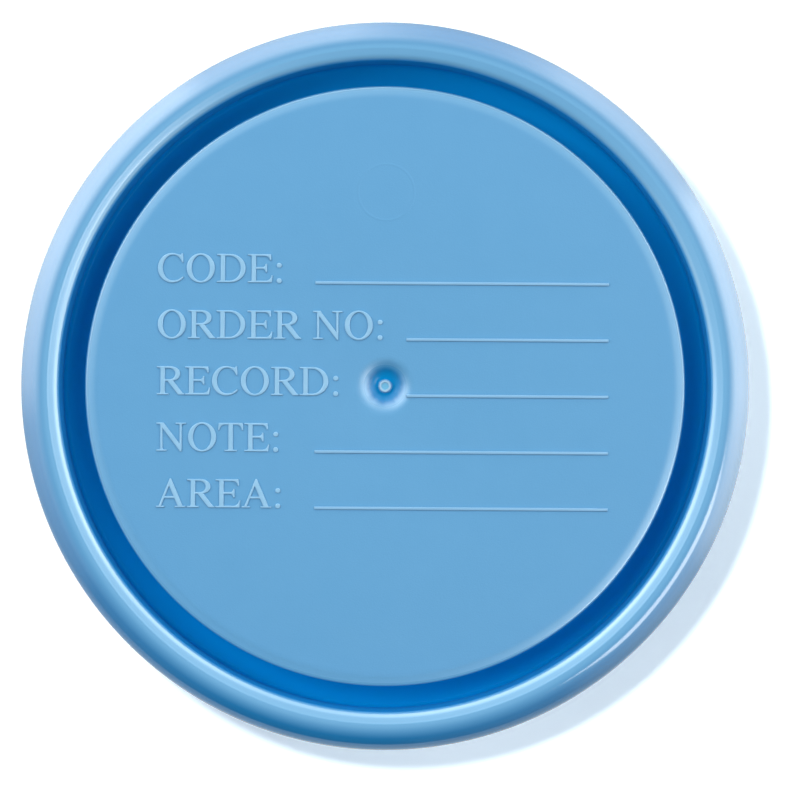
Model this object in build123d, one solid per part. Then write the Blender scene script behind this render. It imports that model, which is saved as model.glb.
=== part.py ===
from build123d import *
import math
import os

# Specimen container: a tapered cup and the lid that snaps over its lip.
# Millimetres. +Z is up and the foot ring stands on z = 0, centred on the Z axis.
# The captions on the lid read along +X.

# ---- driving dimensions: the cup ----
cup_height = 75.0
cup_wall = 1.1
lip_bore_radius = 38.05
bead_radius = 39.9
bead_height = 2.2
bead_round = 0.8
neck_height = 11.0
shoulder_height = 2.5
shoulder_step = 1.2
base_radius = 32.0
base_round = 4.0
base_thickness = 1.4
foot_height = 1.4
foot_width = 2.2
gate_radius = 1.2
gate_relief = 0.5
gate_dish_radius = 6.0
gate_dish_depth = 0.3
gate_edge_draft = 0.15
gate_edge_round = 0.1
gate_dish_slope = 0.4
gate_dish_round = 0.3
foot_draft = 0.3
foot_inner_round = 0.4
foot_outer_round = 0.9
wall_bend_round = 1.0
lip_bore_round = 0.5
bead_under_round = 0.5
bore_step_lead = 0.4
mark_relief = 0.25
mark_height = 0.5
mark_long_angle = 16.0
mark_short_angle = 9.0
mark_azimuth = -90.0
numeral_height = 3.6
numeral_gap = 1.5
long_marks = (50, 100, 150, 200)
short_marks = (25, 75, 125, 175)

# ---- driving dimensions: the lid ----
lid_radius = 41.45
lid_wall = 1.15
crown_thickness = 1.2
crown_flat_radius = 38.9
crease_radius = 38.1
moat_outer_radius = 36.95
moat_depth = 7.0
moat_corner = 0.5
panel_radius = 34.2
panel_drop = 2.4
panel_round = 0.3
panel_slope_width = 1.3
panel_slope_drop = 0.14
skirt_depth = 7.6
skirt_lip_radius = 41.8
skirt_lip_height = 1.0
plug_radius = 38.0
plug_lead = 0.6
snap_ridge_radius = 39.95
snap_ridge_height = 1.0
snap_ridge_gap = 0.3
dimple_radius = 3.0
dimple_depth = 0.9
dimple_floor_radius = 1.45
bowl_radius = 2.1
bowl_rim_drop = 0.3
nub_radius = 0.75
nub_height = 0.5
nub_dip = 0.15
nub_draft = 0.1
nub_round = 0.05
nub_foot_round = 0.1
dimple_floor_round = 0.5
bowl_rim_round = 0.25
dimple_round = 0.8
panel_slope_round = 6.0
lip_drop = 0.28
lip_round = 0.9
crease_drop = 0.05
crease_width = 0.08
skirt_lip_upper_round = 0.3
skirt_lip_slope = 0.3
skirt_lip_corner_round = 0.2
skirt_lip_lower_round = 0.25
skirt_mouth_width = 0.4
skirt_mouth_height = 0.8
skirt_mouth_round = 0.1
ridge_slope = 0.15
ridge_top_slope = 0.25
under_crown_round = 1.0
plug_lead_height = 1.2
plug_round = 0.4
panel_under_round = 0.6
boss_slope_width = 1.3
boss_flat_share = 0.75
boss_round = 0.8

# ---- driving dimensions: the raised writing on the lid ----
relief = 0.2
letter_em = 4.88
row_pitch = 6.41
middle_baseline = -1.12
text_left = -26.08
rule_right = 25.42
rule_rise = 0.03
rule_width = 0.32
rows = (
    ("CODE:", -8.0),
    ("ORDER NO:", 2.4),
    ("RECORD:", 2.4),
    ("NOTE:", -8.0),
    ("AREA:", -8.0),
)

lid_top = cup_height + crown_thickness
panel_top = lid_top - panel_drop


# ---- serif capitals, in thousandths of an em ----
# A loop is a list of corners. "h" or "v" between two corners makes a quarter of an
# ellipse that leaves the first one horizontally or vertically. A pair of points
# between two corners holds the control points of a free curve.
CAP = 662
SLAB = 34
BRACKET = 30


def foot(stem_left, stem_right, left, right):
    """The serif under a stem, from the stem's left side round to its right side."""
    return [
        (stem_left, SLAB + BRACKET), "v", (stem_left - BRACKET, SLAB),
        (left, SLAB), (left, 0), (right, 0), (right, SLAB),
        (stem_right + BRACKET, SLAB), "h", (stem_right, SLAB + BRACKET),
    ]


def head(stem_left, stem_right, left, right):
    """The serif on top of a stem, from the stem's right side round to its left side."""
    return [
        (stem_right, CAP - SLAB - BRACKET), "v", (stem_right + BRACKET, CAP - SLAB),
        (right, CAP - SLAB), (right, CAP), (left, CAP), (left, CAP - SLAB),
        (stem_left - BRACKET, CAP - SLAB), "h", (stem_left, CAP - SLAB - BRACKET),
    ]


def left_serifs(stem_left, left):
    """The left ends of the serifs on a stem whose right side belongs to a bowl or an arm."""
    return [
        (left, CAP), (left, CAP - SLAB), (stem_left - BRACKET, CAP - SLAB), "h",
        (stem_left, CAP - SLAB - BRACKET), (stem_left, SLAB + BRACKET), "v",
        (stem_left - BRACKET, SLAB), (left, SLAB), (left, 0),
    ]


def oval(x, y, radius_x, radius_y):
    """A closed ellipse in four quarters."""
    return [
        (x - radius_x, y), "v", (x, y + radius_y), "h",
        (x + radius_x, y), "v", (x, y - radius_y), "h",
    ]


CAPITALS = {
    " ": (250, []),
    ":": (278, [oval(136, 45, 58, 58), oval(136, 404, 58, 58)]),
    "T": (611, [foot(254, 356, 160, 452) + [
        (356, 620), (450, 620), "h", (562, 492), (596, 492), (586, CAP),
        (25, CAP), (15, 492), (49, 492), "v", (160, 620), (254, 620),
    ]]),
    "E": (611, [left_serifs(105, 12) + [
        (571, 0), (599, 172), (566, 172), "v", (430, 44), (207, 44), (207, 318),
        (360, 318), "h", (428, 236), (462, 236), (462, 438), (428, 438), "v",
        (360, 364), (207, 364), (207, 618), (420, 618), "h", (530, 515),
        (563, 515), (553, CAP),
    ]]),
    "N": (722, [[
        (12, CAP), (12, CAP - SLAB), (80, CAP - SLAB), "h", (110, 598)]
        + foot(110, 160, 12, 258)
        + [(160, 532), (572, -11), (608, -11)]
        + head(558, 608, 462, 707)
        + [(558, 170), (184, CAP)]]),
    "A": (722, [
        [(15, 0), (213, 0), (213, SLAB), (136, SLAB), (206, 214), (446, 214),
         (524, SLAB), (451, SLAB), (451, 0), (706, 0), (706, SLAB), (640, SLAB),
         (366, 674), (336, 674), (78, SLAB), (15, SLAB)],
        [(224, 260), (427, 260), (320, 506)],
    ]),
    "R": (667, [
        left_serifs(105, 17) + [
            (294, 0), (294, SLAB), (237, SLAB), "h", (207, SLAB + BRACKET),
            (207, 316), (270, 316), (520, 0), (660, 0), (660, 26), (622, 42),
            (398, 328), ((500, 340), (563, 400)), (563, 490), "v", (340, CAP),
        ],
        [(207, 358), (310, 358), "h", (452, 490), "v", (310, 618), (207, 618)],
    ]),
    "D": (722, [
        left_serifs(104, 16) + [(330, 0), "h", (685, 331), "v", (330, CAP)],
        [(206, 42), (310, 42), "h", (573, 331), "v", (310, 620), (206, 620)],
    ]),
    "O": (722, [oval(361, 331, 327, 345), oval(361, 331, 213, 303)]),
    "C": (667, [[
        (633, 113), ((565, 30), (480, -14)), (355, -14), "h", (28, 331), "v",
        (355, 676), ((450, 676), (500, 640)), (562, 640), (584, 676), (612, 676),
        (620, 458), (590, 458), ((560, 570), (480, 634)), (370, 634), "h",
        (142, 331), "v", (375, 36), ((470, 36), (540, 60)), (604, 136),
    ]]),
}
QUARTER = 0.5523
UNITS_PER_EM = 1000


# ---- plain numerals for the graduations, in the same notation ----
NUMERAL_CAP = 700
NUMERALS = {
    " ": (260, []),
    "0": (560, [oval(280, 350, 220, 350), oval(280, 350, 115, 245)]),
    "1": (400, [[(150, 0), (260, 0), (260, 700), (170, 700), (50, 600), (50, 490), (150, 570)]]),
    "2": (560, [[
        (60, 0), (500, 0), (500, 105), (215, 105), (440, 345), ((480, 390), (500, 440)),
        (500, 495), "v", (280, 700), "h", (60, 495), (165, 495), "v", (280, 600), "h",
        (395, 495), ((395, 460), (385, 435)), (360, 408), (60, 100),
    ]]),
    "5": (560, [[
        (100, 700), (75, 330), (170, 315), ((200, 350), (235, 370)), (280, 370), "h",
        (400, 235), "v", (280, 100), "h", (165, 190), (60, 190), "v", (280, 0), "h",
        (505, 235), "v", (285, 470), ((245, 470), (215, 460)), (184, 440), (196, 597),
        (470, 597), (470, 700),
    ]]),
    "m": (800, [[
        (60, 0), (165, 0), (165, 300), "v", (255, 400), "h", (340, 300), (340, 0), (445, 0),
        (445, 300), "v", (535, 400), "h", (620, 300), (620, 0), (725, 0), (725, 300), "v",
        (545, 500), ((490, 500), (450, 480)), (420, 430), ((395, 480), (340, 500)),
        (280, 500), ((230, 500), (190, 480)), (165, 440), (165, 490), (60, 490),
    ]]),
    "L": (500, [[(60, 0), (480, 0), (480, 105), (170, 105), (170, 700), (60, 700)]]),
}
RINGS = ("A", "R", "D", "O", "0")


def loop_edges(loop, scale, shift):
    """The edges of one loop, scaled to millimetres and moved along the line of writing."""
    def place(x, y):
        return (x * scale + shift, y * scale)

    edges = []
    start = loop[0]
    bend = None
    for item in loop[1:] + loop[:1]:
        if item in ("h", "v") or isinstance(item[0], tuple):
            bend = item
            continue
        if bend == "h":
            handles = [
                (start[0] + QUARTER * (item[0] - start[0]), start[1]),
                (item[0], item[1] - QUARTER * (item[1] - start[1])),
            ]
        elif bend == "v":
            handles = [
                (start[0], start[1] + QUARTER * (item[1] - start[1])),
                (item[0] - QUARTER * (item[0] - start[0]), item[1]),
            ]
        else:
            handles = list(bend or [])
        points = [place(*point) for point in [start, *handles, item]]
        edges.append(Bezier(*points) if handles else Line(*points))
        start = item
        bend = None
    return edges


def glyph_faces(glyphs, name, scale, shift):
    """One character as flat faces, with the counter cut out of a character that has one."""
    faces = [make_face(Wire(loop_edges(loop, scale, shift))) for loop in glyphs[name][1]]
    if name in RINGS:
        return [faces[0] - faces[1]]
    return faces


def writing(glyphs, text, scale):
    """The characters of a text as pairs of place along the line and faces."""
    placed = []
    pen = 0.0
    for character in text:
        placed.append((pen, glyph_faces(glyphs, character, scale, 0.0)))
        pen += glyphs[character][0] * scale
    return placed


def turned(profile):
    """A solid of revolution about Z from corners of radius, height and corner round."""
    corners = [(radius, height) for radius, height, _ in profile]
    rounds = [corner_round for _, _, corner_round in profile]
    outline = FilletPolyline(*corners, radius=rounds, close=True)
    return revolve(Plane.XZ * make_face(outline), Axis.Z)


# ---- the cup ----
neck_radius = lip_bore_radius + cup_wall
neck_bottom = cup_height - neck_height
shoulder_bottom = neck_bottom - shoulder_height
shoulder_radius = neck_radius - shoulder_step
floor_height = foot_height + base_thickness
taper = (shoulder_radius - base_radius) / shoulder_bottom
cubic_mm_per_ml = 1000.0


def outer_radius(height):
    """The cup's outer radius on its tapered wall."""
    return base_radius + taper * height


def level_height(millilitres):
    """The height at which the tapered cup holds a volume, taking its inside as a cone."""
    floor_radius = outer_radius(floor_height) - cup_wall
    volume = millilitres * cubic_mm_per_ml
    level_radius = (floor_radius ** 3 + 3 * taper * volume / math.pi) ** (1 / 3)
    return floor_height + (level_radius - floor_radius) / taper


def cup_shell():
    """The plain moulding: gate mark, foot ring, tapered wall, shoulder, neck and lip bead."""
    foot_inner = base_radius - foot_width
    inner_base = outer_radius(floor_height) - cup_wall
    gate_face = foot_height + gate_dish_depth
    return turned([
        (0.0, gate_face - gate_relief, 0.0),
        (gate_radius - gate_edge_draft, gate_face - gate_relief, gate_edge_round),
        (gate_radius, gate_face, gate_edge_round),
        (gate_dish_radius - gate_dish_slope, gate_face, gate_dish_round),
        (gate_dish_radius, foot_height, gate_dish_round),
        (foot_inner - foot_draft, foot_height, foot_inner_round),
        (foot_inner, 0.0, foot_inner_round),
        (base_radius, 0.0, foot_outer_round),
        (shoulder_radius, shoulder_bottom, wall_bend_round),
        (neck_radius, neck_bottom, wall_bend_round),
        (neck_radius, cup_height - bead_height, 0.0),
        (bead_radius, cup_height - bead_height, bead_under_round),
        (bead_radius, cup_height, bead_round),
        (lip_bore_radius, cup_height, lip_bore_round),
        (lip_bore_radius, neck_bottom + bore_step_lead, wall_bend_round),
        (shoulder_radius - cup_wall, shoulder_bottom + bore_step_lead, wall_bend_round),
        (inner_base, floor_height, base_round),
        (0.0, floor_height, 0.0),
    ])


def mark(height, angle):
    """One raised graduation line that follows the wall, starting at the marks' left end."""
    inner = outer_radius(height) - 0.5 * cup_wall
    outer = outer_radius(height) + mark_relief
    bar = make_face(Polyline(
        (inner, height - 0.5 * mark_height), (outer, height - 0.5 * mark_height),
        (outer, height + 0.5 * mark_height), (inner, height + 0.5 * mark_height), close=True,
    ))
    return Rot(0, 0, mark_azimuth) * revolve(Plane.XZ * bar, Axis.Z, revolution_arc=angle)


def numeral(text, height):
    """The raised characters right of a long mark, each on its own tangent plane."""
    scale = numeral_height / NUMERAL_CAP
    sunk = 0.5 * cup_wall
    solids = []
    for pen, faces in writing(NUMERALS, text, scale):
        radius = outer_radius(height)
        angle = math.radians(mark_azimuth + mark_long_angle + numeral_gap) + pen / radius
        tilt = math.atan(taper)
        outward = (math.cos(angle) * math.cos(tilt), math.sin(angle) * math.cos(tilt), -math.sin(tilt))
        plane = Plane(
            origin=(radius * math.cos(angle), radius * math.sin(angle), height),
            x_dir=(-math.sin(angle), math.cos(angle), 0),
            z_dir=outward,
        )
        seat = plane.offset(-sunk) * Pos(0, -0.5 * numeral_height)
        solids += [extrude(seat * face, sunk + mark_relief, dir=outward) for face in faces]
    return solids


def make_cup():
    raised = [mark(level_height(level), mark_long_angle) for level in long_marks]
    raised += [mark(level_height(level), mark_short_angle) for level in short_marks]
    for level in long_marks:
        suffix = " mL" if level == long_marks[-1] else ""
        raised += numeral(str(level) + suffix, level_height(level))
    return cup_shell() + raised


# ---- the lid ----
def lid_shell():
    """The plain moulding: skirt, crown, plug ring, moat and writing panel."""
    under_crown = lid_top - crown_thickness
    moat_floor = lid_top - moat_depth
    plug_bottom = moat_floor - lid_wall
    skirt_bottom = lid_top - skirt_depth
    skirt_inner = lid_radius - lid_wall
    panel_under = panel_top - lid_wall
    bowl = panel_top - dimple_depth
    ridge_top = under_crown - bead_height - snap_ridge_gap
    ridge_bottom = ridge_top - snap_ridge_height
    return turned([
        (0.0, bowl + nub_height - nub_dip, 0.0),
        (0.5 * nub_radius, bowl + nub_height - nub_dip, 0.0),
        (0.5 * nub_radius + nub_draft, bowl + nub_height, 0.0),
        (nub_radius - nub_draft, bowl + nub_height, nub_round),
        (nub_radius, bowl, nub_foot_round),
        (dimple_floor_radius, bowl, dimple_floor_round),
        (bowl_radius, panel_top - bowl_rim_drop, bowl_rim_round),
        (dimple_radius, panel_top, dimple_round),
        (panel_radius - panel_slope_width, panel_top, panel_slope_round),
        (panel_radius, panel_top - panel_slope_drop, panel_round),
        (panel_radius, moat_floor, moat_corner),
        (moat_outer_radius, moat_floor, moat_corner),
        (moat_outer_radius, lid_top - lip_drop, lip_round),
        (crease_radius, lid_top - crease_drop, 0.0),
        (crease_radius + crease_width, lid_top, 0.0),
        (lid_radius, lid_top, lid_radius - crown_flat_radius),
        (lid_radius, skirt_bottom + skirt_lip_height, skirt_lip_upper_round),
        (skirt_lip_radius, skirt_bottom + skirt_lip_height - skirt_lip_slope, skirt_lip_corner_round),
        (skirt_lip_radius, skirt_bottom, skirt_lip_lower_round),
        (skirt_inner + skirt_mouth_width, skirt_bottom, skirt_mouth_round),
        (skirt_inner, skirt_bottom + skirt_mouth_height, 0.0),
        (skirt_inner, ridge_bottom - ridge_slope, 0.0),
        (snap_ridge_radius, ridge_bottom + ridge_slope, 0.0),
        (snap_ridge_radius, ridge_top - ridge_slope, 0.0),
        (skirt_inner, ridge_top - ridge_slope + ridge_top_slope, 0.0),
        (skirt_inner, under_crown, under_crown_round),
        (plug_radius, under_crown, 0.0),
        (plug_radius, plug_bottom + plug_lead_height, plug_round),
        (plug_radius - plug_lead, plug_bottom, plug_round),
        (panel_radius - lid_wall, plug_bottom, plug_round),
        (panel_radius - lid_wall, panel_under, panel_under_round),
        (dimple_radius + boss_slope_width, panel_under, boss_round),
        (boss_flat_share * dimple_radius, panel_under - dimple_depth, boss_round),
        (0.0, panel_under - dimple_depth, 0.0),
    ])


def writing_block():
    """The captions and the write-on rules, raised from the panel."""
    scale = letter_em / UNITS_PER_EM
    solids = []
    for row, (caption, rule_left) in enumerate(rows):
        baseline = middle_baseline + (len(rows) // 2 - row) * row_pitch
        for pen, faces in writing(CAPITALS, caption, scale):
            seat = Pos(text_left + pen, baseline, panel_top - relief)
            solids += [extrude(seat * face, 2 * relief, dir=(0, 0, 1)) for face in faces]
        length = rule_right - rule_left
        seat = Pos(rule_left + 0.5 * length, baseline + rule_rise, panel_top)
        solids.append(seat * Box(length, rule_width, 2 * relief))
    return solids


def make_lid():
    return lid_shell() + writing_block()


os.makedirs("parts", exist_ok=True)
export_step(make_cup(), "parts/cup.step")
export_step(make_lid(), "parts/lid.step")
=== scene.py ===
import math

import bmesh
import bpy
from mathutils import Matrix, Vector


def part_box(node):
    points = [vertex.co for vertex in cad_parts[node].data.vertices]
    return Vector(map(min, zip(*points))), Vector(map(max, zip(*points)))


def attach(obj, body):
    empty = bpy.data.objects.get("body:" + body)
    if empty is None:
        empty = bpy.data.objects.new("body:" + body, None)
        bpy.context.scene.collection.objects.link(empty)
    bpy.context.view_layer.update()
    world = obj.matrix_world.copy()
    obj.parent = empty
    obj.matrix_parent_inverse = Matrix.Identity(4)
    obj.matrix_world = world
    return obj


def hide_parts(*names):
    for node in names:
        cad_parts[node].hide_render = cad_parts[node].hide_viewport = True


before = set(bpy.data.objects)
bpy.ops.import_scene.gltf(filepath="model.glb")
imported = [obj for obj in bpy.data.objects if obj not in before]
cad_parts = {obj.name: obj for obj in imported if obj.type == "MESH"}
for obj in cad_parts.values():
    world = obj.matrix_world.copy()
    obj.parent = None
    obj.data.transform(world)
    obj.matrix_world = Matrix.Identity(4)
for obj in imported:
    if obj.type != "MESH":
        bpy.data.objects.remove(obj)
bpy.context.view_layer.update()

# A specimen container standing on a pale floor, seen from straight above its lid.
# Metres. The lid and the cup are turned again here with finer rounds, and the raised
# writing is cut with soft edges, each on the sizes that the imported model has.

MM = 0.001
cup_low, cup_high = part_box("cup")
lid_low, lid_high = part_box("lid")
LID_TOP = lid_high.z
CUP_TOP = cup_high.z

# ---- the lid's shape ----
LID_RADIUS = 41.45 * MM
LID_WALL = 1.15 * MM
CROWN_FLAT_RADIUS = 38.9 * MM
CREASE_RADIUS = 38.1 * MM
MOAT_OUTER_RADIUS = 36.95 * MM
MOAT_DEPTH = 7.0 * MM
MOAT_CORNER = 0.5 * MM
PANEL_RADIUS = 34.2 * MM
PANEL_DROP = 2.4 * MM
PANEL_ROUND = 0.3 * MM
PANEL_SLOPE_WIDTH = 1.3 * MM
PANEL_SLOPE_DROP = 0.14 * MM
PANEL_TOP = LID_TOP - PANEL_DROP
SKIRT_DEPTH = 7.6 * MM
SKIRT_LIP_RADIUS = 41.8 * MM
SKIRT_LIP_HEIGHT = 1.0 * MM
PLUG_RADIUS = 38.0 * MM
SNAP_RIDGE_RADIUS = 39.95 * MM
DIMPLE_RADIUS = 3.0 * MM
DIMPLE_DEPTH = 0.9 * MM
DIMPLE_FLOOR_RADIUS = 1.45 * MM
BOWL_RADIUS = 2.1 * MM
BOWL_RIM_DROP = 0.3 * MM
NUB_RADIUS = 0.75 * MM
NUB_HEIGHT = 0.5 * MM
NUB_DIP = 0.15 * MM
NUB_DRAFT = 0.1 * MM
NUB_DIP_ROUND = 0.04 * MM
NUB_ROUND = 0.06 * MM
NUB_FOOT_ROUND = 0.12 * MM
BOWL_ROUND = 1.4 * MM
DIMPLE_ROUND = 3.0 * MM
PANEL_SLOPE_ROUND = 6.0 * MM
LIP_DROP = 0.28 * MM
LIP_ROUND = 0.9 * MM
CREASE_DROP = 0.05 * MM
CREASE_WIDTH = 0.2 * MM
CREASE_ROUND = 0.2 * MM
CREASE_TOP_ROUND = 0.5 * MM
SKIRT_LIP_UPPER_ROUND = 0.3 * MM
SKIRT_LIP_SLOPE_SHARE = 0.7
SKIRT_LIP_CORNER_ROUND = 0.2 * MM
SKIRT_LIP_LOWER_ROUND = 0.25 * MM
SKIRT_MOUTH_WIDTH = 0.4 * MM
SKIRT_MOUTH_HEIGHT = 0.8 * MM
SKIRT_MOUTH_ROUND = 0.1 * MM
SNAP_RIDGE_GAP = 0.3 * MM
SNAP_RIDGE_HEIGHT = 1.0 * MM
RIDGE_SLOPE = 0.15 * MM
RIDGE_TOP_LEAD = 0.1 * MM
RIDGE_ROUND = 0.1 * MM
UNDER_CROWN_ROUND = 1.0 * MM
PLUG_TOP_ROUND = 0.1 * MM
PLUG_LEAD = 0.6 * MM
PLUG_LEAD_HEIGHT = 1.2 * MM
PLUG_ROUND = 0.4 * MM
PANEL_UNDER_ROUND = 0.6 * MM
BOSS_SLOPE_WIDTH = 1.3 * MM
BOSS_FLAT_SHARE = 0.75
BOSS_ROUND = 0.8 * MM
PIN_MARK_Y = 22.1 * MM
PIN_MARK_RADIUS = 3.2 * MM

# ---- the writing on the lid ----
RELIEF = 0.2 * MM
LETTER_SOFTNESS = 0.07 * MM
LETTER_EM = 4.88 * MM
ROW_PITCH = 6.41 * MM
MIDDLE_BASELINE = -1.12 * MM
TEXT_LEFT = -26.08 * MM
RULE_RIGHT = 25.42 * MM
RULE_RISE = 0.03 * MM
RULE_WIDTH = 0.32 * MM
ROWS = (
    ("CODE:", -8.0 * MM),
    ("ORDER NO:", 2.4 * MM),
    ("RECORD:", 2.4 * MM),
    ("NOTE:", -8.0 * MM),
    ("AREA:", -8.0 * MM),
)

# ---- the cup's shape ----
CUP_WALL = 1.1 * MM
LIP_BORE_RADIUS = 38.05 * MM
BEAD_RADIUS = 39.9 * MM
BEAD_HEIGHT = 2.2 * MM
BEAD_ROUND = 0.8 * MM
NECK_HEIGHT = 11.0 * MM
SHOULDER_HEIGHT = 2.5 * MM
SHOULDER_STEP = 1.2 * MM
BASE_RADIUS = 32.0 * MM
BASE_ROUND = 4.0 * MM
BASE_THICKNESS = 1.4 * MM
FOOT_HEIGHT = 1.4 * MM
FOOT_WIDTH = 2.2 * MM
GATE_RADIUS = 1.2 * MM
GATE_RELIEF = 0.5 * MM
GATE_DISH_RADIUS = 6.0 * MM
GATE_DISH_DEPTH = 0.3 * MM
GATE_EDGE_DRAFT = 0.15 * MM
GATE_EDGE_ROUND = 0.1 * MM
GATE_DISH_SLOPE = 0.4 * MM
GATE_DISH_ROUND = 0.3 * MM
FOOT_DRAFT = 0.3 * MM
FOOT_INNER_ROUND = 0.4 * MM
FOOT_OUTER_ROUND = 0.9 * MM
WALL_BEND_ROUND = 1.0 * MM
BEAD_NECK_ROUND = 0.2 * MM
BEAD_UNDER_ROUND = 0.5 * MM
LIP_BORE_ROUND = 0.5 * MM
BORE_STEP_LEAD = 0.4 * MM
MARK_RELIEF = 0.25 * MM
MARK_SOFTNESS = 0.1 * MM
MARK_HEIGHT = 0.5 * MM
MARK_LONG_ANGLE = math.radians(16.0)
MARK_SHORT_ANGLE = math.radians(9.0)
MARK_AZIMUTH = math.radians(-90.0)
NUMERAL_HEIGHT = 3.6 * MM
NUMERAL_GAP = math.radians(1.5)
LONG_MARKS = (50, 100, 150, 200)
SHORT_MARKS = (25, 75, 125, 175)

NECK_RADIUS = LIP_BORE_RADIUS + CUP_WALL
NECK_BOTTOM = CUP_TOP - NECK_HEIGHT
SHOULDER_BOTTOM = NECK_BOTTOM - SHOULDER_HEIGHT
SHOULDER_RADIUS = NECK_RADIUS - SHOULDER_STEP
FLOOR_HEIGHT = FOOT_HEIGHT + BASE_THICKNESS
TAPER = (SHOULDER_RADIUS - BASE_RADIUS) / SHOULDER_BOTTOM

# ---- mesh fineness ----
TURNS = 288
ROUND_STEP = math.radians(7.5)
MARK_STEPS = 24
ON_AXIS = 1e-9
MERGE_DISTANCE = 1e-8
SHARP_ANGLE = math.radians(35)
RAISED_SHARP_ANGLE = math.radians(50)

scene = bpy.context.scene


# ---- turned shapes ----
def rounded(profile):
    """The profile's points, with each corner's round as an arc of short steps."""
    points = []
    count = len(profile)
    for i, (radius, height, fillet) in enumerate(profile):
        corner = Vector((radius, height))
        if fillet == 0:
            points.append(corner)
            continue
        before = (Vector(profile[i - 1][:2]) - corner).normalized()
        after = (Vector(profile[(i + 1) % count][:2]) - corner).normalized()
        half = before.angle(after) / 2
        reach = fillet / math.tan(half)
        centre = corner + (before + after).normalized() * fillet / math.sin(half)
        start = corner + before * reach - centre
        sweep = start.angle_signed(corner + after * reach - centre)
        steps = max(2, math.ceil(abs(sweep) / ROUND_STEP))
        for step in range(steps + 1):
            turn = -sweep * step / steps
            cosine, sine = math.cos(turn), math.sin(turn)
            points.append(centre + Vector((
                start.x * cosine - start.y * sine,
                start.x * sine + start.y * cosine,
            )))
    return points


def turned(name, profile):
    """A closed mesh turned about Z from corners of radius, height and round."""
    outline = rounded(profile)
    vertices = []
    rings = []
    for point in outline:
        first = len(vertices)
        if point.x < ON_AXIS:
            vertices.append((0.0, 0.0, point.y))
            rings.append([first] * TURNS)
            continue
        for turn in range(TURNS):
            angle = 2 * math.pi * turn / TURNS
            vertices.append((point.x * math.cos(angle), point.x * math.sin(angle), point.y))
        rings.append(list(range(first, first + TURNS)))
    faces = []
    for here, after in zip(rings, rings[1:] + rings[:1]):
        for turn in range(TURNS):
            onward = (turn + 1) % TURNS
            corners = [here[turn], after[turn], after[onward], here[onward]]
            corners = list(dict.fromkeys(corners))
            if len(corners) > 2:
                faces.append(corners)
    mesh = bpy.data.meshes.new(name)
    mesh.from_pydata(vertices, [], faces)
    return smooth_object(name, mesh)


def smooth_object(name, mesh, sharp=SHARP_ANGLE):
    """An object from a mesh, with smooth shading up to a sharp angle and faces turned outward."""
    work = bmesh.new()
    work.from_mesh(mesh)
    bmesh.ops.remove_doubles(work, verts=work.verts, dist=MERGE_DISTANCE)
    bmesh.ops.recalc_face_normals(work, faces=work.faces)
    work.to_mesh(mesh)
    work.free()
    mesh.shade_smooth()
    mesh.set_sharp_from_angle(angle=sharp)
    made = bpy.data.objects.new(name, mesh)
    scene.collection.objects.link(made)
    return made


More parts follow.
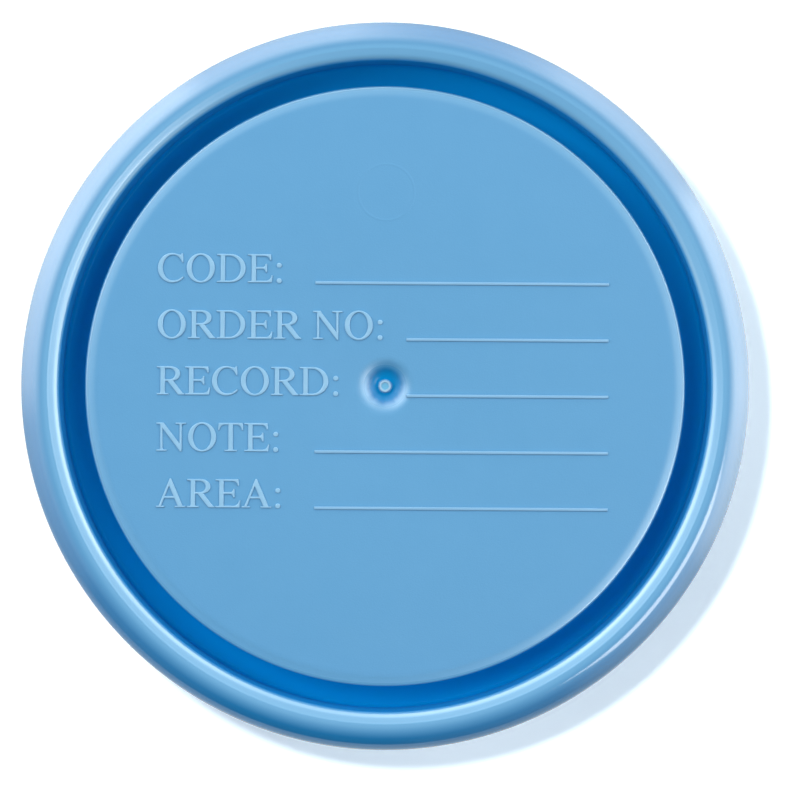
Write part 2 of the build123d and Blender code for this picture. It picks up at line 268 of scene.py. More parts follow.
def lid_profile():
    """Skirt, crown, plug ring, moat, writing panel and gate dimple, from the top centre round."""
    under_crown = CUP_TOP
    moat_floor = LID_TOP - MOAT_DEPTH
    plug_bottom = moat_floor - LID_WALL
    skirt_bottom = LID_TOP - SKIRT_DEPTH
    skirt_inner = LID_RADIUS - LID_WALL
    panel_under = PANEL_TOP - LID_WALL
    bowl = PANEL_TOP - DIMPLE_DEPTH
    ridge_top = under_crown - BEAD_HEIGHT - SNAP_RIDGE_GAP
    ridge_bottom = ridge_top - SNAP_RIDGE_HEIGHT
    skirt_lip_top = skirt_bottom + SKIRT_LIP_SLOPE_SHARE * SKIRT_LIP_HEIGHT
    return [
        (0.0, bowl + NUB_HEIGHT - NUB_DIP, 0),
        (0.5 * NUB_RADIUS, bowl + NUB_HEIGHT - NUB_DIP, 0),
        (0.5 * NUB_RADIUS + NUB_DRAFT, bowl + NUB_HEIGHT, NUB_DIP_ROUND),
        (NUB_RADIUS - NUB_DRAFT, bowl + NUB_HEIGHT, NUB_ROUND),
        (NUB_RADIUS, bowl, NUB_FOOT_ROUND),
        (DIMPLE_FLOOR_RADIUS, bowl, BOWL_ROUND),
        (BOWL_RADIUS, PANEL_TOP - BOWL_RIM_DROP, BOWL_ROUND),
        (DIMPLE_RADIUS, PANEL_TOP, DIMPLE_ROUND),
        (PANEL_RADIUS - PANEL_SLOPE_WIDTH, PANEL_TOP, PANEL_SLOPE_ROUND),
        (PANEL_RADIUS, PANEL_TOP - PANEL_SLOPE_DROP, PANEL_ROUND),
        (PANEL_RADIUS, moat_floor, MOAT_CORNER),
        (MOAT_OUTER_RADIUS, moat_floor, MOAT_CORNER),
        (MOAT_OUTER_RADIUS, LID_TOP - LIP_DROP, LIP_ROUND),
        (CREASE_RADIUS, LID_TOP - CREASE_DROP, CREASE_ROUND),
        (CREASE_RADIUS + CREASE_WIDTH, LID_TOP, CREASE_TOP_ROUND),
        (LID_RADIUS, LID_TOP, LID_RADIUS - CROWN_FLAT_RADIUS),
        (LID_RADIUS, skirt_bottom + SKIRT_LIP_HEIGHT, SKIRT_LIP_UPPER_ROUND),
        (SKIRT_LIP_RADIUS, skirt_lip_top, SKIRT_LIP_CORNER_ROUND),
        (SKIRT_LIP_RADIUS, skirt_bottom, SKIRT_LIP_LOWER_ROUND),
        (skirt_inner + SKIRT_MOUTH_WIDTH, skirt_bottom, SKIRT_MOUTH_ROUND),
        (skirt_inner, skirt_bottom + SKIRT_MOUTH_HEIGHT, 0),
        (skirt_inner, ridge_bottom - RIDGE_SLOPE, 0),
        (SNAP_RIDGE_RADIUS, ridge_bottom + RIDGE_SLOPE, RIDGE_ROUND),
        (SNAP_RIDGE_RADIUS, ridge_top - RIDGE_SLOPE, RIDGE_ROUND),
        (skirt_inner, ridge_top + RIDGE_TOP_LEAD, 0),
        (skirt_inner, under_crown, UNDER_CROWN_ROUND),
        (PLUG_RADIUS, under_crown, PLUG_TOP_ROUND),
        (PLUG_RADIUS, plug_bottom + PLUG_LEAD_HEIGHT, PLUG_ROUND),
        (PLUG_RADIUS - PLUG_LEAD, plug_bottom, PLUG_ROUND),
        (PANEL_RADIUS - LID_WALL, plug_bottom, PLUG_ROUND),
        (PANEL_RADIUS - LID_WALL, panel_under, PANEL_UNDER_ROUND),
        (DIMPLE_RADIUS + BOSS_SLOPE_WIDTH, panel_under, BOSS_ROUND),
        (BOSS_FLAT_SHARE * DIMPLE_RADIUS, panel_under - DIMPLE_DEPTH, BOSS_ROUND),
        (0.0, panel_under - DIMPLE_DEPTH, 0),
    ]


def cup_profile():
    """Foot ring, tapered wall, shoulder, neck and lip bead, from the underside's centre round."""
    foot_inner = BASE_RADIUS - FOOT_WIDTH
    inner_base = wall_radius(FLOOR_HEIGHT) - CUP_WALL
    gate_face = FOOT_HEIGHT + GATE_DISH_DEPTH
    return [
        (0.0, gate_face - GATE_RELIEF, 0),
        (GATE_RADIUS - GATE_EDGE_DRAFT, gate_face - GATE_RELIEF, GATE_EDGE_ROUND),
        (GATE_RADIUS, gate_face, GATE_EDGE_ROUND),
        (GATE_DISH_RADIUS - GATE_DISH_SLOPE, gate_face, GATE_DISH_ROUND),
        (GATE_DISH_RADIUS, FOOT_HEIGHT, GATE_DISH_ROUND),
        (foot_inner - FOOT_DRAFT, FOOT_HEIGHT, FOOT_INNER_ROUND),
        (foot_inner, 0.0, FOOT_INNER_ROUND),
        (BASE_RADIUS, 0.0, FOOT_OUTER_ROUND),
        (SHOULDER_RADIUS, SHOULDER_BOTTOM, WALL_BEND_ROUND),
        (NECK_RADIUS, NECK_BOTTOM, WALL_BEND_ROUND),
        (NECK_RADIUS, CUP_TOP - BEAD_HEIGHT, BEAD_NECK_ROUND),
        (BEAD_RADIUS, CUP_TOP - BEAD_HEIGHT, BEAD_UNDER_ROUND),
        (BEAD_RADIUS, CUP_TOP, BEAD_ROUND),
        (LIP_BORE_RADIUS, CUP_TOP, LIP_BORE_ROUND),
        (LIP_BORE_RADIUS, NECK_BOTTOM + BORE_STEP_LEAD, WALL_BEND_ROUND),
        (SHOULDER_RADIUS - CUP_WALL, SHOULDER_BOTTOM + BORE_STEP_LEAD, WALL_BEND_ROUND),
        (inner_base, FLOOR_HEIGHT, BASE_ROUND),
        (0.0, FLOOR_HEIGHT, 0),
    ]


def wall_radius(height):
    """The cup's outer radius on its tapered wall."""
    return BASE_RADIUS + TAPER * height


def level_height(millilitres):
    """The height at which the tapered cup holds a volume, taking its inside as a cone."""
    floor_radius = wall_radius(FLOOR_HEIGHT) - CUP_WALL
    volume = millilitres * 1e-6
    level_radius = (floor_radius ** 3 + 3.0 * TAPER * volume / math.pi) ** (1 / 3)
    return FLOOR_HEIGHT + (level_radius - floor_radius) / TAPER


# ---- letters, in thousandths of an em ----
# A loop is a list of corners. "h" or "v" between two corners makes a quarter of an
# ellipse that leaves the first one horizontally or vertically. A pair of points
# between two corners holds the handles of a free curve.
CAP = 662
SLAB = 34
BRACKET = 30
QUARTER = 0.5523
UNITS_PER_EM = 1000


def foot(stem_left, stem_right, left, right):
    """The serif under a stem, from the stem's left side round to its right side."""
    return [
        (stem_left, SLAB + BRACKET), "v", (stem_left - BRACKET, SLAB),
        (left, SLAB), (left, 0), (right, 0), (right, SLAB),
        (stem_right + BRACKET, SLAB), "h", (stem_right, SLAB + BRACKET),
    ]


def head(stem_left, stem_right, left, right):
    """The serif on top of a stem, from the stem's right side round to its left side."""
    return [
        (stem_right, CAP - SLAB - BRACKET), "v", (stem_right + BRACKET, CAP - SLAB),
        (right, CAP - SLAB), (right, CAP), (left, CAP), (left, CAP - SLAB),
        (stem_left - BRACKET, CAP - SLAB), "h", (stem_left, CAP - SLAB - BRACKET),
    ]


def left_serifs(stem_left, left):
    """The left ends of the serifs on a stem whose right side belongs to a bowl or an arm."""
    return [
        (left, CAP), (left, CAP - SLAB), (stem_left - BRACKET, CAP - SLAB), "h",
        (stem_left, CAP - SLAB - BRACKET), (stem_left, SLAB + BRACKET), "v",
        (stem_left - BRACKET, SLAB), (left, SLAB), (left, 0),
    ]


def oval(x, y, radius_x, radius_y):
    """A closed ellipse in four quarters."""
    return [
        (x - radius_x, y), "v", (x, y + radius_y), "h",
        (x + radius_x, y), "v", (x, y - radius_y), "h",
    ]


CAPITALS = {
    " ": (250, []),
    ":": (278, [oval(136, 45, 58, 58), oval(136, 404, 58, 58)]),
    "T": (611, [foot(254, 356, 160, 452) + [
        (356, 620), (450, 620), "h", (562, 492), (596, 492), (586, CAP),
        (25, CAP), (15, 492), (49, 492), "v", (160, 620), (254, 620),
    ]]),
    "E": (611, [left_serifs(105, 12) + [
        (571, 0), (599, 172), (566, 172), "v", (430, 44), (207, 44), (207, 318),
        (360, 318), "h", (428, 236), (462, 236), (462, 438), (428, 438), "v",
        (360, 364), (207, 364), (207, 618), (420, 618), "h", (530, 515),
        (563, 515), (553, CAP),
    ]]),
    "N": (722, [[
        (12, CAP), (12, CAP - SLAB), (80, CAP - SLAB), "h", (110, 598)]
        + foot(110, 160, 12, 258)
        + [(160, 532), (572, -11), (608, -11)]
        + head(558, 608, 462, 707)
        + [(558, 170), (184, CAP)]]),
    "A": (722, [
        [(15, 0), (213, 0), (213, SLAB), (136, SLAB), (206, 214), (446, 214),
         (524, SLAB), (451, SLAB), (451, 0), (706, 0), (706, SLAB), (640, SLAB),
         (366, 674), (336, 674), (78, SLAB), (15, SLAB)],
        [(224, 260), (427, 260), (320, 506)],
    ]),
    "R": (667, [
        left_serifs(105, 17) + [
            (294, 0), (294, SLAB), (237, SLAB), "h", (207, SLAB + BRACKET),
            (207, 316), (270, 316), (520, 0), (660, 0), (660, 26), (622, 42),
            (398, 328), ((500, 340), (563, 400)), (563, 490), "v", (340, CAP),
        ],
        [(207, 358), (310, 358), "h", (452, 490), "v", (310, 618), (207, 618)],
    ]),
    "D": (722, [
        left_serifs(104, 16) + [(330, 0), "h", (685, 331), "v", (330, CAP)],
        [(206, 42), (310, 42), "h", (573, 331), "v", (310, 620), (206, 620)],
    ]),
    "O": (722, [oval(361, 331, 327, 345), oval(361, 331, 213, 303)]),
    "C": (667, [[
        (633, 113), ((565, 30), (480, -14)), (355, -14), "h", (28, 331), "v",
        (355, 676), ((450, 676), (500, 640)), (562, 640), (584, 676), (612, 676),
        (620, 458), (590, 458), ((560, 570), (480, 634)), (370, 634), "h",
        (142, 331), "v", (375, 36), ((470, 36), (540, 60)), (604, 136),
    ]]),
}
NUMERAL_CAP = 700
NUMERALS = {
    " ": (260, []),
    "0": (560, [oval(280, 350, 220, 350), oval(280, 350, 115, 245)]),
    "1": (400, [[(150, 0), (260, 0), (260, 700), (170, 700), (50, 600), (50, 490), (150, 570)]]),
    "2": (560, [[
        (60, 0), (500, 0), (500, 105), (215, 105), (440, 345), ((480, 390), (500, 440)),
        (500, 495), "v", (280, 700), "h", (60, 495), (165, 495), "v", (280, 600), "h",
        (395, 495), ((395, 460), (385, 435)), (360, 408), (60, 100),
    ]]),
    "5": (560, [[
        (100, 700), (75, 330), (170, 315), ((200, 350), (235, 370)), (280, 370), "h",
        (400, 235), "v", (280, 100), "h", (165, 190), (60, 190), "v", (280, 0), "h",
        (505, 235), "v", (285, 470), ((245, 470), (215, 460)), (184, 440), (196, 597),
        (470, 597), (470, 700),
    ]]),
    "m": (800, [[
        (60, 0), (165, 0), (165, 300), "v", (255, 400), "h", (340, 300), (340, 0), (445, 0),
        (445, 300), "v", (535, 400), "h", (620, 300), (620, 0), (725, 0), (725, 300), "v",
        (545, 500), ((490, 500), (450, 480)), (420, 430), ((395, 480), (340, 500)),
        (280, 500), ((230, 500), (190, 480)), (165, 440), (165, 490), (60, 490),
    ]]),
    "L": (500, [[(60, 0), (480, 0), (480, 105), (170, 105), (170, 700), (60, 700)]]),
}


def handles_between(start, bend, end):
    """The two handles of the curve from start to end, or none for a straight edge."""
    if bend is None:
        return None
    if bend == "h":
        return (
            (start[0] + QUARTER * (end[0] - start[0]), start[1]),
            (end[0], end[1] - QUARTER * (end[1] - start[1])),
        )
    if bend == "v":
        return (
            (start[0], start[1] + QUARTER * (end[1] - start[1])),
            (end[0] - QUARTER * (end[0] - start[0]), end[1]),
        )
    return bend


def add_loop(curve, loop, scale, shift_x, shift_y):
    """Adds one loop to a flat curve as a closed Bezier spline."""
    def place(point):
        return Vector((point[0] * scale + shift_x, point[1] * scale + shift_y, 0))

    corners = []
    bends = []
    for item in loop:
        if item in ("h", "v") or isinstance(item[0], tuple):
            bends[-1] = item
        else:
            corners.append(item)
            bends.append(None)
    spline = curve.splines.new("BEZIER")
    spline.bezier_points.add(len(corners) - 1)
    spline.use_cyclic_u = True
    points = spline.bezier_points
    for point, corner in zip(points, corners):
        point.handle_left_type = point.handle_right_type = "FREE"
        point.co = point.handle_left = point.handle_right = place(corner)
    for i, bend in enumerate(bends):
        onward = (i + 1) % len(corners)
        handles = handles_between(corners[i], bend, corners[onward])
        if handles:
            points[i].handle_right = place(handles[0])
            points[onward].handle_left = place(handles[1])


def raised_curve(name, height, softness):
    """An empty flat curve that becomes a solid of the given height with soft edges."""
    curve = bpy.data.curves.new(name, "CURVE")
    curve.dimensions = "2D"
    curve.fill_mode = "BOTH"
    curve.resolution_u = 10
    curve.extrude = height / 2 - softness
    curve.bevel_depth = softness
    curve.bevel_resolution = 3
    curve.offset = -softness
    return curve


def write(curve, glyphs, text, scale, left, baseline):
    """Adds a line of characters to a flat curve."""
    pen = left
    for character in text:
        advance, loops = glyphs[character]
        for loop in loops:
            add_loop(curve, loop, scale, pen, baseline)
        pen += advance * scale


def mesh_from(curve):
    """The mesh of a curve, as it is with its height and soft edges."""
    holder = bpy.data.objects.new(curve.name, curve)
    mesh = bpy.data.meshes.new_from_object(holder)
    bpy.data.objects.remove(holder)
    bpy.data.curves.remove(curve)
    return mesh


# ---- materials ----
def principled(name):
    """A new material with its node tree and its shader."""
    material = bpy.data.materials.new(name)
    material.use_nodes = True
    tree = material.node_tree
    return material, tree, tree.nodes["Principled BSDF"]


def noise(tree, scale, detail):
    """Noise in the object's own space, scale in features per metre."""
    place = tree.nodes.new("ShaderNodeTexCoord")
    made = tree.nodes.new("ShaderNodeTexNoise")
    made.inputs["Scale"].default_value = scale
    made.inputs["Detail"].default_value = detail
    tree.links.new(place.outputs["Object"], made.inputs["Vector"])
    return made.outputs["Fac"]


def ramp(tree, source, stops, smooth=False):
    """A colour ramp over a value, from (position, colour) stops."""
    made = tree.nodes.new("ShaderNodeValToRGB")
    made.color_ramp.interpolation = "EASE" if smooth else "LINEAR"
    elements = made.color_ramp.elements
    while len(elements) < len(stops):
        elements.new(0.5)
    for element, (position, colour) in zip(elements, stops):
        element.position = position
        element.color = (*colour, 1.0)
    tree.links.new(source, made.inputs["Fac"])
    return made.outputs["Color"]


def radius_from(tree, x=0.0, y=0.0, reach=1.0):
    """Distance from a vertical line in the object's own space, as a share of reach."""
    place = tree.nodes.new("ShaderNodeTexCoord")
    offset = tree.nodes.new("ShaderNodeVectorMath")
    offset.operation = "SUBTRACT"
    offset.inputs[1].default_value = (x, y, 0)
    flat = tree.nodes.new("ShaderNodeVectorMath")
    flat.operation = "MULTIPLY"
    flat.inputs[1].default_value = (1 / reach, 1 / reach, 0)
    size = tree.nodes.new("ShaderNodeVectorMath")
    size.operation = "LENGTH"
    tree.links.new(place.outputs["Object"], offset.inputs[0])
    tree.links.new(offset.outputs[0], flat.inputs[0])
    tree.links.new(flat.outputs[0], size.inputs[0])
    return size.outputs["Value"]


def bump(tree, shader, height, distance, strength):
    """Fine relief on a shader from a height between 0 and 1."""
    made = tree.nodes.new("ShaderNodeBump")
    made.inputs["Distance"].default_value = distance
    made.inputs["Strength"].default_value = strength
    tree.links.new(height, made.inputs["Height"])
    tree.links.new(made.outputs["Normal"], shader.inputs["Normal"])


def math_node(tree, operation, first, second):
    """A math node whose inputs are links or numbers."""
    made = tree.nodes.new("ShaderNodeMath")
    made.operation = operation
    for socket, value in zip(made.inputs, (first, second)):
        if isinstance(value, (int, float)):
            socket.default_value = value
        else:
            tree.links.new(value, socket)
    return made.outputs[0]


def grey_ramp(tree, source, stops):
    """A ramp of one value over another, from (position, value) stops."""
    return ramp(tree, source, [(position, (value,) * 3) for position, value in stops])


PANEL_BLUE = (0.070, 0.242, 0.438)
PANEL_BLUE_DEEP = (0.062, 0.230, 0.424)
# Painted highlight: the paler edge and crown blues stand for light caught by the panel's sloped
# edge and the flat crown ring; the lid is one plastic.
EDGE_HIGHLIGHT_BLUE = (0.100, 0.300, 0.510)
CROWN_SHEEN_BLUE = (0.136, 0.360, 0.595)
# Painted bounce light and shade: the moat's fully saturated blue stands for light bounced between
# the channel's blue walls, and the deeper rim and dimple blues for the shade on the outer round
# and in the dimple.
MOAT_BOUNCE_BLUE = (0.0, 0.250, 0.615)
RIM_SHADE_BLUE = (0.004, 0.158, 0.385)
DIMPLE_SHADE_BLUE = (0.001, 0.185, 0.440)
# Painted highlight: the paler nub blues stand for light caught by the gate nub's rounded top.
NUB_HIGHLIGHT_BLUE = (0.31, 0.50, 0.66)
NUB_DIP_HIGHLIGHT_BLUE = (0.14, 0.40, 0.60)
# Painted highlight: the paler letter and rule blues stand for light caught by the raised writing,
# which is the lid's own plastic.
LETTER_HIGHLIGHT_BLUE = (0.25, 0.465, 0.66)
LETTER_HIGHLIGHT_BLUE_DEEP = (0.22, 0.435, 0.63)
RULE_HIGHLIGHT_BLUE = (0.20, 0.40, 0.60)
MILK_GREY = (0.735, 0.775, 0.79)
MILK_GREY_DEEP = (0.70, 0.745, 0.765)
# Painted light: the floor's cyan tint and faint blue glow make the lid's shadow read blue,
# standing for light passed through the blue lid.
FLOOR_PALE = (0.85, 0.95, 0.97)
FLOOR_PALE_DEEP = (0.83, 0.93, 0.96)
FLOOR_PAINTED_GLOW_BLUE = (0.3, 0.5, 1.0)
FLOOR_PAINTED_GLOW = 0.2
PLASTIC_IOR = 1.49
GRAIN_HEIGHT = 0.02 * MM
GRAIN_STRENGTH = 0.6


def lid_material():
    """Blue polypropylene: a matte grained panel and crown, a polished moat, rim and dimple, with
    highlight and shade painted in as a different blue in each zone.
    """
    material, tree, shader = principled("lid_polypropylene")
    reach = SKIRT_LIP_RADIUS
    nub_dip = 0.5 * NUB_RADIUS / reach
    nub = (NUB_RADIUS + 0.02 * MM) / reach
    bowl = (BOWL_RADIUS - 0.25 * MM) / reach
    dimple = (BOWL_RADIUS + 0.45 * MM) / reach
    panel_flat = (PANEL_RADIUS - PANEL_SLOPE_WIDTH) / reach
    panel_edge = (PANEL_RADIUS - 0.1 * MM) / reach
    moat_edge = (PANEL_RADIUS + 0.05 * MM) / reach
    lip_edge = (MOAT_OUTER_RADIUS + 0.1 * MM) / reach
    crown_edge = (CROWN_FLAT_RADIUS + 0.3 * MM) / reach
    crown_start = (CROWN_FLAT_RADIUS - 0.3 * MM) / reach
    rim_edge = (LID_RADIUS - 1.5 * MM) / reach
    zone = radius_from(tree, reach=reach)

    def zones(panel):
        # The blues in this ramp paint highlight and shade zone by zone; only the panel's two
        # blues differ at random.
        return ramp(tree, zone, [
            (nub_dip, NUB_DIP_HIGHLIGHT_BLUE), (nub_dip + 0.002, NUB_HIGHLIGHT_BLUE), (nub - 0.001, NUB_HIGHLIGHT_BLUE),
            (nub + 0.001, DIMPLE_SHADE_BLUE), (bowl, DIMPLE_SHADE_BLUE), (dimple, panel),
            (panel_flat, panel), (panel_flat + 0.012, EDGE_HIGHLIGHT_BLUE), (panel_edge, EDGE_HIGHLIGHT_BLUE),
            (moat_edge, MOAT_BOUNCE_BLUE), (lip_edge - 0.003, MOAT_BOUNCE_BLUE), (lip_edge + 0.003, CROWN_SHEEN_BLUE),
            (crown_start, CROWN_SHEEN_BLUE), (rim_edge, RIM_SHADE_BLUE),
        ])

    mix = tree.nodes.new("ShaderNodeMix")
    mix.data_type = "RGBA"
    tree.links.new(noise(tree, 260, 3), mix.inputs["Factor"])
    tree.links.new(zones(PANEL_BLUE_DEEP), mix.inputs[6])
    tree.links.new(zones(PANEL_BLUE), mix.inputs[7])
    tree.links.new(mix.outputs[2], shader.inputs["Base Color"])
    finish = grey_ramp(tree, zone, [
        (bowl, 0.12), (dimple, 0.3), (dimple + 0.02, 0.5), (panel_flat, 0.5),
        (panel_flat + 0.008, 0.3),
        (panel_edge - 0.006, 0.28), (panel_edge - 0.004, 0.1), (lip_edge, 0.16),
        (crown_edge - 0.02, 0.25), (crown_edge - 0.01, 0.2), (crown_edge, 0.1),
    ])
    tree.links.new(finish, shader.inputs["Roughness"])
    wet = grey_ramp(tree, zone, [
        (bowl - 0.006, 0.16), (dimple - 0.004, 1.0), (dimple + 0.02, 0.8), (panel_flat, 0.8),
        (panel_edge - 0.005, 1.0), (panel_edge, 1.0), (moat_edge, 0.04), (lip_edge - 0.004, 0.04),
        (lip_edge + 0.004, 1.0),
    ])
    tree.links.new(wet, shader.inputs["Specular IOR Level"])
    on_panel = grey_ramp(tree, zone, [
        (dimple, 0.0), (dimple + 0.005, 1.0), (panel_flat, 1.0), (panel_edge, 0.0),
    ])
    grain = math_node(tree, "MULTIPLY", noise(tree, 7000, 2), on_panel)
    pin = grey_ramp(tree, radius_from(tree, 0.0, PIN_MARK_Y, 2 * PIN_MARK_RADIUS), [
        (0.47, 0.0), (0.5, 1.0), (0.53, 0.0),
    ])
    bump(tree, shader, math_node(tree, "ADD", grain, pin), GRAIN_HEIGHT, GRAIN_STRENGTH)
    shader.inputs["IOR"].default_value = PLASTIC_IOR
    return material


def letter_material(name, pale, deep):
    """The same plastic where it is raised: smooth, and painted a little paler as highlight for
    the light the raised strokes catch.
    """
    material, tree, shader = principled(name)
    tint = ramp(tree, noise(tree, 900, 2), [(0.3, deep), (0.7, pale)])
    tree.links.new(tint, shader.inputs["Base Color"])
    shader.inputs["Roughness"].default_value = 0.3
    shader.inputs["IOR"].default_value = PLASTIC_IOR
    return material


def cup_material():
    """Natural polypropylene: milky, satin outside."""
    material, tree, shader = principled("cup_polypropylene")
    haze = ramp(tree, noise(tree, 60, 3), [(0.3, MILK_GREY_DEEP), (0.7, MILK_GREY)])
    tree.links.new(haze, shader.inputs["Base Color"])
    satin = ramp(tree, noise(tree, 2500, 2), [(0.3, (0.36,) * 3), (0.7, (0.44,) * 3)])
    tree.links.new(satin, shader.inputs["Roughness"])
    shader.inputs["IOR"].default_value = PLASTIC_IOR
    shader.inputs["Transmission Weight"].default_value = 0.55
    return material


def stage_material():
    """The floor: pale, with a cyan tint and a painted blue glow that make the lid's shadow read
    blue.
    """
    material, tree, shader = principled("stage_white")
    tint = ramp(tree, noise(tree, 2, 2), [(0.3, FLOOR_PALE_DEEP), (0.7, FLOOR_PALE)])
    tree.links.new(tint, shader.inputs["Base Color"])
    shader.inputs["Roughness"].default_value = 0.9
    # Painted light: a faint blue glow from the floor, so its shadows read blue.
    shader.inputs["Emission Color"].default_value = (*FLOOR_PAINTED_GLOW_BLUE, 1.0)
    shader.inputs["Emission Strength"].default_value = FLOOR_PAINTED_GLOW
    return material


# ---- pieces ----
def make_lid(material, letters, lines):
    """The lid's moulding, with its writing as raised pieces on the panel."""
    lid = turned("lid_moulding", lid_profile())
    lid.data.materials.append(material)
    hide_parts("lid")
    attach(lid, "lid")

    curve = raised_curve("lid_captions", 2 * RELIEF, LETTER_SOFTNESS)
    rules = raised_curve("lid_rules", 2 * RELIEF, LETTER_SOFTNESS)
    for row, (caption, rule_left) in enumerate(ROWS):
        baseline = MIDDLE_BASELINE + (len(ROWS) // 2 - row) * ROW_PITCH
        write(curve, CAPITALS, caption, LETTER_EM / UNITS_PER_EM, TEXT_LEFT, baseline)
        level = baseline + RULE_RISE
        low, high = level - RULE_WIDTH / 2, level + RULE_WIDTH / 2
        corners = [(rule_left, low), (RULE_RIGHT, low), (RULE_RIGHT, high), (rule_left, high)]
        add_loop(rules, corners, 1.0, 0.0, 0.0)
    for part, raised in ((curve, letters), (rules, lines)):
        name = part.name
        mesh = mesh_from(part)
        mesh.transform(Matrix.Translation((0, 0, PANEL_TOP)))
        piece = smooth_object(name, mesh, RAISED_SHARP_ANGLE)
        piece.data.materials.append(raised)
        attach(piece, "lid")


def wrap_on_wall(mesh, start_angle, height):
    """Lays a flat mesh round the cup's wall: x runs along it, y up it and z out of it."""
    for vertex in mesh.vertices:
        along, up, out = vertex.co
        level = height + up
        radius = wall_radius(level) + out
        angle = start_angle + along / wall_radius(height)
        vertex.co = (radius * math.cos(angle), radius * math.sin(angle), level)


def make_marks(material):
    """The graduation lines and their numerals, raised on the cup's wall."""
    for level in sorted(LONG_MARKS + SHORT_MARKS):
        height = level_height(level)
        long = level in LONG_MARKS
        length = (MARK_LONG_ANGLE if long else MARK_SHORT_ANGLE) * wall_radius(height)
        curve = raised_curve(f"cup_mark_{level}", 2 * MARK_RELIEF, MARK_SOFTNESS)
        low, high = -MARK_HEIGHT / 2, MARK_HEIGHT / 2
        across = [length * step / MARK_STEPS for step in range(MARK_STEPS + 1)]
        loop = [(x, low) for x in across] + [(x, high) for x in reversed(across)]
        add_loop(curve, loop, 1.0, 0.0, 0.0)
        mesh = mesh_from(curve)
        wrap_on_wall(mesh, MARK_AZIMUTH, height)
        pieces = [(f"cup_mark_{level}", mesh)]
        if long:
            text = f"{level} mL" if level == LONG_MARKS[-1] else str(level)
            curve = raised_curve(f"cup_numeral_{level}", 2 * MARK_RELIEF, MARK_SOFTNESS)
            scale = NUMERAL_HEIGHT / NUMERAL_CAP
            write(curve, NUMERALS, text, scale, 0.0, -NUMERAL_HEIGHT / 2)
            mesh = mesh_from(curve)
            wrap_on_wall(mesh, MARK_AZIMUTH + MARK_LONG_ANGLE + NUMERAL_GAP, height)
            pieces.append((f"cup_numeral_{level}", mesh))
        for name, mesh in pieces:
            piece = smooth_object(name, mesh, RAISED_SHARP_ANGLE)
            piece.data.materials.append(material)
            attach(piece, "cup")


def make_cup(material):
    """The cup's moulding."""
    cup = turned("cup_moulding", cup_profile())
    cup.data.materials.append(material)
    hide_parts("cup")
    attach(cup, "cup")


# ---- stage, light and camera ----
FLOOR_HALF = 6.0
VIEW_WIDTH = 90.56 * MM
VIEW_HEIGHT_ABOVE = 0.42
VIEW_ROLL = math.radians(0.37)
VIEW_OFFSET = Vector((1.71 * MM, -1.45 * MM, 0))
SOFT_BOXES = (
    ("soft_left", 172, 38, 0.9, 0.6, 5.0),
    ("soft_back", 95, 38, 0.9, 0.6, 2.5),
    ("soft_right", 28, 38, 1.1, 0.6, 6.0),
)
KEY_LIGHTS = (
    ("key", 150, 58, 0.7, 8.2, False),
    ("counter", 326, 63, 0.45, 3.4, True),
)
SOFT_BOX_DISTANCE = 1.2
KEY_DISTANCE = 1.5
OVERHEAD_POWER = 6.8
OVERHEAD_SIZE = 4.0 * MM
OVERHEAD_PLACE = VIEW_OFFSET + Vector((-17.4 * MM, 14.6 * MM, LID_TOP + VIEW_HEIGHT_ABOVE))
TENT_SHINE = 7.2
TENT_TINT = (0.94, 1.0, 0.95)
TENT_TURN = math.radians(12.0)
TENT_ROUND = (
    (0.01, 0.02), (0.024, 0.035), (0.128, 0.1), (0.165, 0.18), (0.345, 0.38), (0.396, 0.6),
    (0.604, 0.95), (0.65, 0.93), (0.835, 1.0), (0.87, 0.72), (0.975, 0.74), (1.0, 0.46),
)
TENT_HEIGHT = (
    (0.0, 0.11), (0.02, 0.16), (0.12, 0.36), (0.35, 0.7), (0.5, 0.88), (0.62, 0.98), (0.8, 1.0),
    (0.89, 0.85), (0.945, 0.55), (0.975, 0.32), (0.99, 0.1), (1.0, 0.0),
)
FILL_FRONT = 0.2
FILL_BACK = 0.4
ROOM_SEEN = 0.93


def make_stage():
    """The pale floor that the container stands on."""
    mesh = bpy.data.meshes.new("floor")
    h = FLOOR_HALF
    mesh.from_pydata([(-h, -h, 0), (h, -h, 0), (h, h, 0), (-h, h, 0)], [], [(0, 1, 2, 3)])
    floor = bpy.data.objects.new("floor", mesh)
    scene.collection.objects.link(floor)
    mesh.materials.append(stage_material())
    floor.visible_glossy = False
    return floor


def area_light(name, azimuth, elevation, distance, width, height, power):
    """A soft box that faces the lid's centre and shows in no reflection."""
    data = bpy.data.lights.new(name, "AREA")
    data.shape = "RECTANGLE"
    data.size = width
    data.size_y = height
    data.energy = power
    made = bpy.data.objects.new(name, data)
    a, e = math.radians(azimuth), math.radians(elevation)
    outward = Vector((math.cos(a) * math.cos(e), math.sin(a) * math.cos(e), math.sin(e)))
    made.location = outward * distance + Vector((0, 0, LID_TOP))
    made.rotation_euler = outward.to_track_quat("Z", "Y").to_euler()
    made.visible_glossy = False
    scene.collection.objects.link(made)
    return made


def only_lights(light, pieces):
    """Keeps a light to the given pieces; everything still throws its shadow."""
    lit = bpy.data.collections.new(f"lit_by_{light.name}")
    for piece in pieces:
        lit.objects.link(piece)
    light.light_linking.receiver_collection = lit


def make_lights(floor):
    """Soft boxes round the back half, a key light on the object and a small light overhead."""
    for name, azimuth, elevation, width, height, power in SOFT_BOXES:
        area_light(name, azimuth, elevation, SOFT_BOX_DISTANCE, width, height, power)
    data = bpy.data.lights.new("overhead", "POINT")
    data.energy = OVERHEAD_POWER
    data.shadow_soft_size = OVERHEAD_SIZE
    overhead = bpy.data.objects.new("overhead", data)
    overhead.location = OVERHEAD_PLACE
    overhead.visible_glossy = False
    scene.collection.objects.link(overhead)
    only_lights(overhead, [floor])
    pieces = [piece for piece in scene.objects if piece.type == "MESH" and piece != floor]
    for name, azimuth, elevation, size, power, in_gloss in KEY_LIGHTS:
        light = area_light(name, azimuth, elevation, KEY_DISTANCE, size, size, power)
        light.visible_glossy = in_gloss
        only_lights(light, pieces)


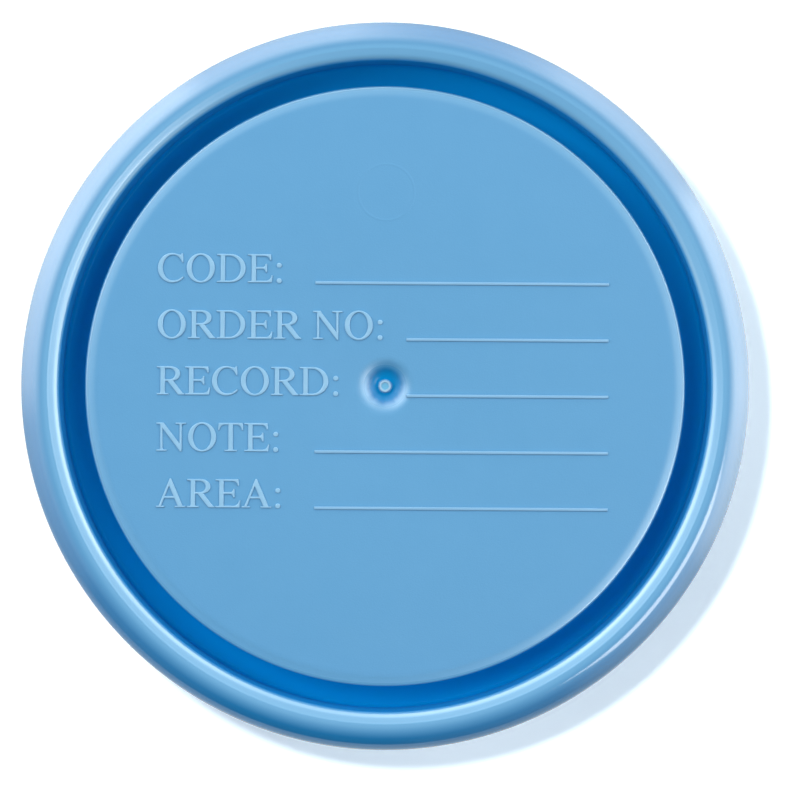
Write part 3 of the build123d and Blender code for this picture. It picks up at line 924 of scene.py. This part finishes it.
def make_world():
    """A pale room to look at, and a light tent round the back half for light and gloss."""
    world = bpy.data.worlds.new("studio")
    scene.world = world
    world.use_nodes = True
    tree = world.node_tree
    ground = tree.nodes["Background"]
    place = tree.nodes.new("ShaderNodeTexCoord")
    split = tree.nodes.new("ShaderNodeSeparateXYZ")
    tree.links.new(place.outputs["Generated"], split.inputs[0])
    x, y, z = split.outputs
    x_squared = math_node(tree, "MULTIPLY", x, x)
    y_squared = math_node(tree, "MULTIPLY", y, y)
    level = math_node(tree, "SQRT", math_node(tree, "ADD", x_squared, y_squared), 0.0)
    along_x = math_node(tree, "MULTIPLY", x, math.sin(TENT_TURN))
    along_y = math_node(tree, "MULTIPLY", y, math.cos(TENT_TURN))
    along = math_node(tree, "ADD", along_x, along_y)
    backward = math_node(tree, "DIVIDE", along, math_node(tree, "MAXIMUM", level, 1e-4))
    round_room = math_node(tree, "MULTIPLY_ADD", backward, 0.5)
    round_room.node.inputs[2].default_value = 0.5
    height = math_node(tree, "MULTIPLY_ADD", z, 0.5)
    height.node.inputs[2].default_value = 0.5
    tent = math_node(tree, "MULTIPLY", grey_ramp(tree, round_room, TENT_ROUND),
                     grey_ramp(tree, height, TENT_HEIGHT))
    shine = math_node(tree, "MULTIPLY", tent, TENT_SHINE)
    below = grey_ramp(tree, height, [(0.47, 1.0), (0.5, 0.0)])
    shine = math_node(tree, "MAXIMUM", shine, below)
    fill = grey_ramp(tree, round_room, [(0.1, FILL_FRONT), (0.7, FILL_BACK)])
    path = tree.nodes.new("ShaderNodeLightPath")
    mixed = fill
    for ray, seen in (("Is Glossy Ray", shine), ("Is Camera Ray", ROOM_SEEN)):
        mix = tree.nodes.new("ShaderNodeMix")
        mix.data_type = "FLOAT"
        tree.links.new(path.outputs[ray], mix.inputs["Factor"])
        tree.links.new(mixed, mix.inputs["A"])
        if isinstance(seen, float):
            mix.inputs["B"].default_value = seen
        else:
            tree.links.new(seen, mix.inputs["B"])
        mixed = mix.outputs["Result"]
    tree.links.new(mixed, ground.inputs["Strength"])
    tint = tree.nodes.new("ShaderNodeMix")
    tint.data_type = "RGBA"
    tint.inputs[6].default_value = (1.0, 1.0, 1.0, 1.0)
    tint.inputs[7].default_value = (*TENT_TINT, 1.0)
    tree.links.new(path.outputs["Is Glossy Ray"], tint.inputs["Factor"])
    tree.links.new(tint.outputs[2], ground.inputs["Color"])


def make_camera():
    """A camera straight above the lid, a little off its centre."""
    data = bpy.data.cameras.new("camera")
    data.sensor_width = 36.0
    data.lens = data.sensor_width * VIEW_HEIGHT_ABOVE / VIEW_WIDTH
    data.clip_start = 0.01
    camera = bpy.data.objects.new("camera", data)
    camera.location = VIEW_OFFSET + Vector((0, 0, LID_TOP + VIEW_HEIGHT_ABOVE))
    camera.rotation_euler = (0, 0, VIEW_ROLL)
    scene.collection.objects.link(camera)
    scene.camera = camera


scene.view_settings.view_transform = "Standard"
make_camera()
floor = make_stage()
make_world()
make_lid(
    lid_material(),
    letter_material("lid_writing", LETTER_HIGHLIGHT_BLUE, LETTER_HIGHLIGHT_BLUE_DEEP),
    letter_material("lid_lines", RULE_HIGHLIGHT_BLUE, RULE_HIGHLIGHT_BLUE),
)
cup_plastic = cup_material()
make_cup(cup_plastic)
make_marks(cup_plastic)
make_lights(floor)
